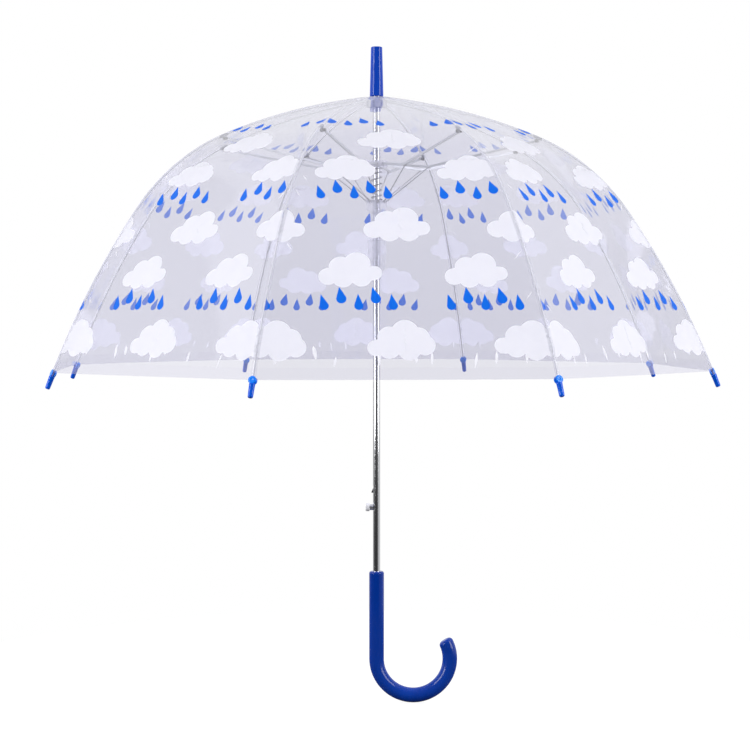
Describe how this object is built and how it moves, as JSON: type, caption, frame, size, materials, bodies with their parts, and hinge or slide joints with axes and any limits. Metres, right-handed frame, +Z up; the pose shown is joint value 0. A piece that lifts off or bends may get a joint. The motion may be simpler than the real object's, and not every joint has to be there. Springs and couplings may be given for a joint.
{
  "type": "automatic dome umbrella",
  "caption": "Open dome umbrella: clear film canopy with cloud prints on a wire rib frame, plated shaft with sliding runner and push-button release, and a blue crook handle.",
  "frame": {"origin": "on the shaft's axis, at the height of the crook's lowest point, which is the centre of the bottom of the whole part's box", "axes": "+Z up the shaft towards the ferrule, +X from the shaft towards the open end of the crook, -X the side of the release button"},
  "size_m": [0.823, 0.823, 0.8329],
  "materials": {
    "handle_plastic": "glossy moulded blue",
    "shaft_steel": "bright nickel plating",
    "spring_steel": "plain spring wire",
    "dark_steel": "black lacquered wire",
    "rib_steel": "grey coated spring steel",
    "white_plastic": "white moulded",
    "runner_plastic": "milky translucent moulded",
    "frame_plastic": "dark grey moulded",
    "ferrule_plastic": "glossy moulded blue",
    "tip_plastic": "glossy moulded blue",
    "film": "clear smooth film"
  },
  "bodies": {
    "frame": {"shaft": "shaft_steel", "handle": "handle_plastic", "ferrule": "ferrule_plastic", "top_washer": "tip_plastic", "crown": "frame_plastic", "crown_wire": "spring_steel", "buffer_spring": "spring_steel"},
    "runner": {"lower_runner": "runner_plastic"},
    "hub": {"upper_hub": "frame_plastic", "main_spring": "dark_steel"},
    "button": {"release_button": "white_plastic"},
    "latch": {"latch_lever": "spring_steel"},
    "rib_1": {"rib_1_inner": "rib_steel", "canopy_panel_1": "film"},
    "rib_1_end": {"rib_1_outer": "rib_steel", "rib_1_tip": "tip_plastic"},
    "stretcher_1": {"stretcher_1": "rib_steel"},
    "strut_1": {"strut_1": "dark_steel"},
    "rib_2": {"rib_2_inner": "rib_steel", "canopy_panel_2": "film"},
    "rib_2_end": {"rib_2_outer": "rib_steel", "rib_2_tip": "tip_plastic"},
    "stretcher_2": {"stretcher_2": "rib_steel"},
    "strut_2": {"strut_2": "dark_steel"},
    "rib_3": {"rib_3_inner": "rib_steel", "canopy_panel_3": "film"},
    "rib_3_end": {"rib_3_outer": "rib_steel", "rib_3_tip": "tip_plastic"},
    "stretcher_3": {"stretcher_3": "rib_steel"},
    "strut_3": {"strut_3": "dark_steel"},
    "rib_4": {"rib_4_inner": "rib_steel", "canopy_panel_4": "film"},
    "rib_4_end": {"rib_4_outer": "rib_steel", "rib_4_tip": "tip_plastic"},
    "stretcher_4": {"stretcher_4": "rib_steel"},
    "strut_4": {"strut_4": "dark_steel"},
    "rib_5": {"rib_5_inner": "rib_steel", "canopy_panel_5": "film"},
    "rib_5_end": {"rib_5_outer": "rib_steel", "rib_5_tip": "tip_plastic"},
    "stretcher_5": {"stretcher_5": "rib_steel"},
    "strut_5": {"strut_5": "dark_steel"},
    "rib_6": {"rib_6_inner": "rib_steel", "canopy_panel_6": "film"},
    "rib_6_end": {"rib_6_outer": "rib_steel", "rib_6_tip": "tip_plastic"},
    "stretcher_6": {"stretcher_6": "rib_steel"},
    "strut_6": {"strut_6": "dark_steel"},
    "rib_7": {"rib_7_inner": "rib_steel", "canopy_panel_7": "film"},
    "rib_7_end": {"rib_7_outer": "rib_steel", "rib_7_tip": "tip_plastic"},
    "stretcher_7": {"stretcher_7": "rib_steel"},
    "strut_7": {"strut_7": "dark_steel"},
    "rib_8": {"rib_8_inner": "rib_steel", "canopy_panel_8": "film"},
    "rib_8_end": {"rib_8_outer": "rib_steel", "rib_8_tip": "tip_plastic"},
    "stretcher_8": {"stretcher_8": "rib_steel"},
    "strut_8": {"strut_8": "dark_steel"}
  },
  "joints": [
    {"name": "runner_slide", "type": "slide", "parent": "frame", "child": "runner", "axis": [0, 0, 1], "range_m": [-0.28656, 0], "stiffness_N_per_m": 60, "springref_m": 0.15, "deforming": ["main_spring", "canopy_panel_1", "canopy_panel_2", "canopy_panel_3", "canopy_panel_4", "canopy_panel_5", "canopy_panel_6", "canopy_panel_7", "canopy_panel_8"]},
    {"name": "hub_slide", "type": "slide", "parent": "frame", "child": "hub", "axis": [0, 0, 1], "range_m": [-0.31837, 0]},
    {"name": "rib_1_hinge", "type": "hinge", "parent": "frame", "child": "rib_1", "pos_m": [0.01047, -0.00338, 0.7655], "axis": [0.3074, 0.9516, 0], "range_deg": [0, 69.76]},
    {"name": "rib_1_flex", "type": "hinge", "parent": "rib_1", "child": "rib_1_end", "pos_m": [0.26202, -0.08463, 0.66965], "axis": [0.3074, 0.9516, 0], "range_deg": [-38.87, 0]},
    {"name": "stretcher_1_hinge", "type": "hinge", "parent": "hub", "child": "stretcher_1", "pos_m": [0.01296, -0.00103, 0.6858], "axis": [0.3074, 0.9516, 0], "range_deg": [-79.35, 0]},
    {"name": "strut_1_hinge", "type": "hinge", "parent": "runner", "child": "strut_1", "pos_m": [0.01209, 0.00167, 0.6383], "axis": [0.3074, 0.9516, 0], "range_deg": [-39.26, 0]},
    {"name": "rib_2_hinge", "type": "hinge", "parent": "frame", "child": "rib_2", "pos_m": [0.00979, 0.00501, 0.7655], "axis": [-0.4555, 0.8902, 0], "range_deg": [0, 69.76]},
    {"name": "rib_2_flex", "type": "hinge", "parent": "rib_2", "child": "rib_2_end", "pos_m": [0.24512, 0.12544, 0.66965], "axis": [-0.4555, 0.8902, 0], "range_deg": [-38.87, 0]},
    {"name": "stretcher_2_hinge", "type": "hinge", "parent": "hub", "child": "stretcher_2", "pos_m": [0.00989, 0.00843, 0.6858], "axis": [-0.4555, 0.8902, 0], "range_deg": [-79.35, 0]},
    {"name": "strut_2_hinge", "type": "hinge", "parent": "runner", "child": "strut_2", "pos_m": [0.00737, 0.00972, 0.6383], "axis": [-0.4555, 0.8902, 0], "range_deg": [-39.26, 0]},
    {"name": "rib_3_hinge", "type": "hinge", "parent": "frame", "child": "rib_3", "pos_m": [0.00338, 0.01047, 0.7655], "axis": [-0.9516, 0.3074, 0], "range_deg": [0, 69.76]},
    {"name": "rib_3_flex", "type": "hinge", "parent": "rib_3", "child": "rib_3_end", "pos_m": [0.08463, 0.26202, 0.66965], "axis": [-0.9516, 0.3074, 0], "range_deg": [-38.87, 0]},
    {"name": "stretcher_3_hinge", "type": "hinge", "parent": "hub", "child": "stretcher_3", "pos_m": [0.00103, 0.01296, 0.6858], "axis": [-0.9516, 0.3074, 0], "range_deg": [-79.35, 0]},
    {"name": "strut_3_hinge", "type": "hinge", "parent": "runner", "child": "strut_3", "pos_m": [-0.00167, 0.01209, 0.6383], "axis": [-0.9516, 0.3074, 0], "range_deg": [-39.26, 0]},
    {"name": "rib_4_hinge", "type": "hinge", "parent": "frame", "child": "rib_4", "pos_m": [-0.00501, 0.00979, 0.7655], "axis": [-0.8902, -0.4555, 0], "range_deg": [0, 69.76]},
    {"name": "rib_4_flex", "type": "hinge", "parent": "rib_4", "child": "rib_4_end", "pos_m": [-0.12544, 0.24512, 0.66965], "axis": [-0.8902, -0.4555, 0], "range_deg": [-38.87, 0]},
    {"name": "stretcher_4_hinge", "type": "hinge", "parent": "hub", "child": "stretcher_4", "pos_m": [-0.00843, 0.00989, 0.6858], "axis": [-0.8902, -0.4555, 0], "range_deg": [-79.35, 0]},
    {"name": "strut_4_hinge", "type": "hinge", "parent": "runner", "child": "strut_4", "pos_m": [-0.00972, 0.00737, 0.6383], "axis": [-0.8902, -0.4555, 0], "range_deg": [-39.26, 0]},
    {"name": "rib_5_hinge", "type": "hinge", "parent": "frame", "child": "rib_5", "pos_m": [-0.01047, 0.00338, 0.7655], "axis": [-0.3074, -0.9516, 0], "range_deg": [0, 69.76]},
    {"name": "rib_5_flex", "type": "hinge", "parent": "rib_5", "child": "rib_5_end", "pos_m": [-0.26202, 0.08463, 0.66965], "axis": [-0.3074, -0.9516, 0], "range_deg": [-38.87, 0]},
    {"name": "stretcher_5_hinge", "type": "hinge", "parent": "hub", "child": "stretcher_5", "pos_m": [-0.01296, 0.00103, 0.6858], "axis": [-0.3074, -0.9516, 0], "range_deg": [-79.35, 0]},
    {"name": "strut_5_hinge", "type": "hinge", "parent": "runner", "child": "strut_5", "pos_m": [-0.01209, -0.00167, 0.6383], "axis": [-0.3074, -0.9516, 0], "range_deg": [-39.26, 0]},
    {"name": "rib_6_hinge", "type": "hinge", "parent": "frame", "child": "rib_6", "pos_m": [-0.00979, -0.00501, 0.7655], "axis": [0.4555, -0.8902, 0], "range_deg": [0, 69.76]},
    {"name": "rib_6_flex", "type": "hinge", "parent": "rib_6", "child": "rib_6_end", "pos_m": [-0.24512, -0.12544, 0.66965], "axis": [0.4555, -0.8902, 0], "range_deg": [-38.87, 0]},
    {"name": "stretcher_6_hinge", "type": "hinge", "parent": "hub", "child": "stretcher_6", "pos_m": [-0.00989, -0.00843, 0.6858], "axis": [0.4555, -0.8902, 0], "range_deg": [-79.35, 0]},
    {"name": "strut_6_hinge", "type": "hinge", "parent": "runner", "child": "strut_6", "pos_m": [-0.00737, -0.00972, 0.6383], "axis": [0.4555, -0.8902, 0], "range_deg": [-39.26, 0]},
    {"name": "rib_7_hinge", "type": "hinge", "parent": "frame", "child": "rib_7", "pos_m": [-0.00338, -0.01047, 0.7655], "axis": [0.9516, -0.3074, 0], "range_deg": [0, 69.76]},
    {"name": "rib_7_flex", "type": "hinge", "parent": "rib_7", "child": "rib_7_end", "pos_m": [-0.08463, -0.26202, 0.66965], "axis": [0.9516, -0.3074, 0], "range_deg": [-38.87, 0]},
    {"name": "stretcher_7_hinge", "type": "hinge", "parent": "hub", "child": "stretcher_7", "pos_m": [-0.00103, -0.01296, 0.6858], "axis": [0.9516, -0.3074, 0], "range_deg": [-79.35, 0]},
    {"name": "strut_7_hinge", "type": "hinge", "parent": "runner", "child": "strut_7", "pos_m": [0.00167, -0.01209, 0.6383], "axis": [0.9516, -0.3074, 0], "range_deg": [-39.26, 0]},
    {"name": "rib_8_hinge", "type": "hinge", "parent": "frame", "child": "rib_8", "pos_m": [0.00501, -0.00979, 0.7655], "axis": [0.8902, 0.4555, 0], "range_deg": [0, 69.76]},
    {"name": "rib_8_flex", "type": "hinge", "parent": "rib_8", "child": "rib_8_end", "pos_m": [0.12544, -0.24512, 0.66965], "axis": [0.8902, 0.4555, 0], "range_deg": [-38.87, 0]},
    {"name": "stretcher_8_hinge", "type": "hinge", "parent": "hub", "child": "stretcher_8", "pos_m": [0.00843, -0.00989, 0.6858], "axis": [0.8902, 0.4555, 0], "range_deg": [-79.35, 0]},
    {"name": "strut_8_hinge", "type": "hinge", "parent": "runner", "child": "strut_8", "pos_m": [0.00972, -0.00737, 0.6383], "axis": [0.8902, 0.4555, 0], "range_deg": [-39.26, 0]},
    {"name": "button_press", "type": "slide", "parent": "frame", "child": "button", "axis": [1, 0, 0], "range_m": [0, 0.003], "stiffness_N_per_m": 400},
    {"name": "latch_hinge", "type": "hinge", "parent": "frame", "child": "latch", "pos_m": [-0.00222, 0, 0.3102], "axis": [0, 1, 0], "range_deg": [-2.87, 0]}
  ],
  "couplings": [
    {"joint": "hub_slide", "follows": "runner_slide", "ratio": 1.111},
    {"joint": "rib_1_hinge", "follows": "runner_slide", "rad_per_m": -4.249},
    {"joint": "rib_1_flex", "follows": "runner_slide", "rad_per_m": 2.3671},
    {"joint": "stretcher_1_hinge", "follows": "runner_slide", "rad_per_m": 4.833},
    {"joint": "strut_1_hinge", "follows": "runner_slide", "rad_per_m": 2.3911},
    {"joint": "rib_2_hinge", "follows": "runner_slide", "rad_per_m": -4.249},
    {"joint": "rib_2_flex", "follows": "runner_slide", "rad_per_m": 2.3671},
    {"joint": "stretcher_2_hinge", "follows": "runner_slide", "rad_per_m": 4.833},
    {"joint": "strut_2_hinge", "follows": "runner_slide", "rad_per_m": 2.3911},
    {"joint": "rib_3_hinge", "follows": "runner_slide", "rad_per_m": -4.249},
    {"joint": "rib_3_flex", "follows": "runner_slide", "rad_per_m": 2.3671},
    {"joint": "stretcher_3_hinge", "follows": "runner_slide", "rad_per_m": 4.833},
    {"joint": "strut_3_hinge", "follows": "runner_slide", "rad_per_m": 2.3911},
    {"joint": "rib_4_hinge", "follows": "runner_slide", "rad_per_m": -4.249},
    {"joint": "rib_4_flex", "follows": "runner_slide", "rad_per_m": 2.3671},
    {"joint": "stretcher_4_hinge", "follows": "runner_slide", "rad_per_m": 4.833},
    {"joint": "strut_4_hinge", "follows": "runner_slide", "rad_per_m": 2.3911},
    {"joint": "rib_5_hinge", "follows": "runner_slide", "rad_per_m": -4.249},
    {"joint": "rib_5_flex", "follows": "runner_slide", "rad_per_m": 2.3671},
    {"joint": "stretcher_5_hinge", "follows": "runner_slide", "rad_per_m": 4.833},
    {"joint": "strut_5_hinge", "follows": "runner_slide", "rad_per_m": 2.3911},
    {"joint": "rib_6_hinge", "follows": "runner_slide", "rad_per_m": -4.249},
    {"joint": "rib_6_flex", "follows": "runner_slide", "rad_per_m": 2.3671},
    {"joint": "stretcher_6_hinge", "follows": "runner_slide", "rad_per_m": 4.833},
    {"joint": "strut_6_hinge", "follows": "runner_slide", "rad_per_m": 2.3911},
    {"joint": "rib_7_hinge", "follows": "runner_slide", "rad_per_m": -4.249},
    {"joint": "rib_7_flex", "follows": "runner_slide", "rad_per_m": 2.3671},
    {"joint": "stretcher_7_hinge", "follows": "runner_slide", "rad_per_m": 4.833},
    {"joint": "strut_7_hinge", "follows": "runner_slide", "rad_per_m": 2.3911},
    {"joint": "rib_8_hinge", "follows": "runner_slide", "rad_per_m": -4.249},
    {"joint": "rib_8_flex", "follows": "runner_slide", "rad_per_m": 2.3671},
    {"joint": "stretcher_8_hinge", "follows": "runner_slide", "rad_per_m": 4.833},
    {"joint": "strut_8_hinge", "follows": "runner_slide", "rad_per_m": 2.3911},
    {"joint": "latch_hinge", "follows": "button_press", "rad_per_m": -16.667}
  ]
}
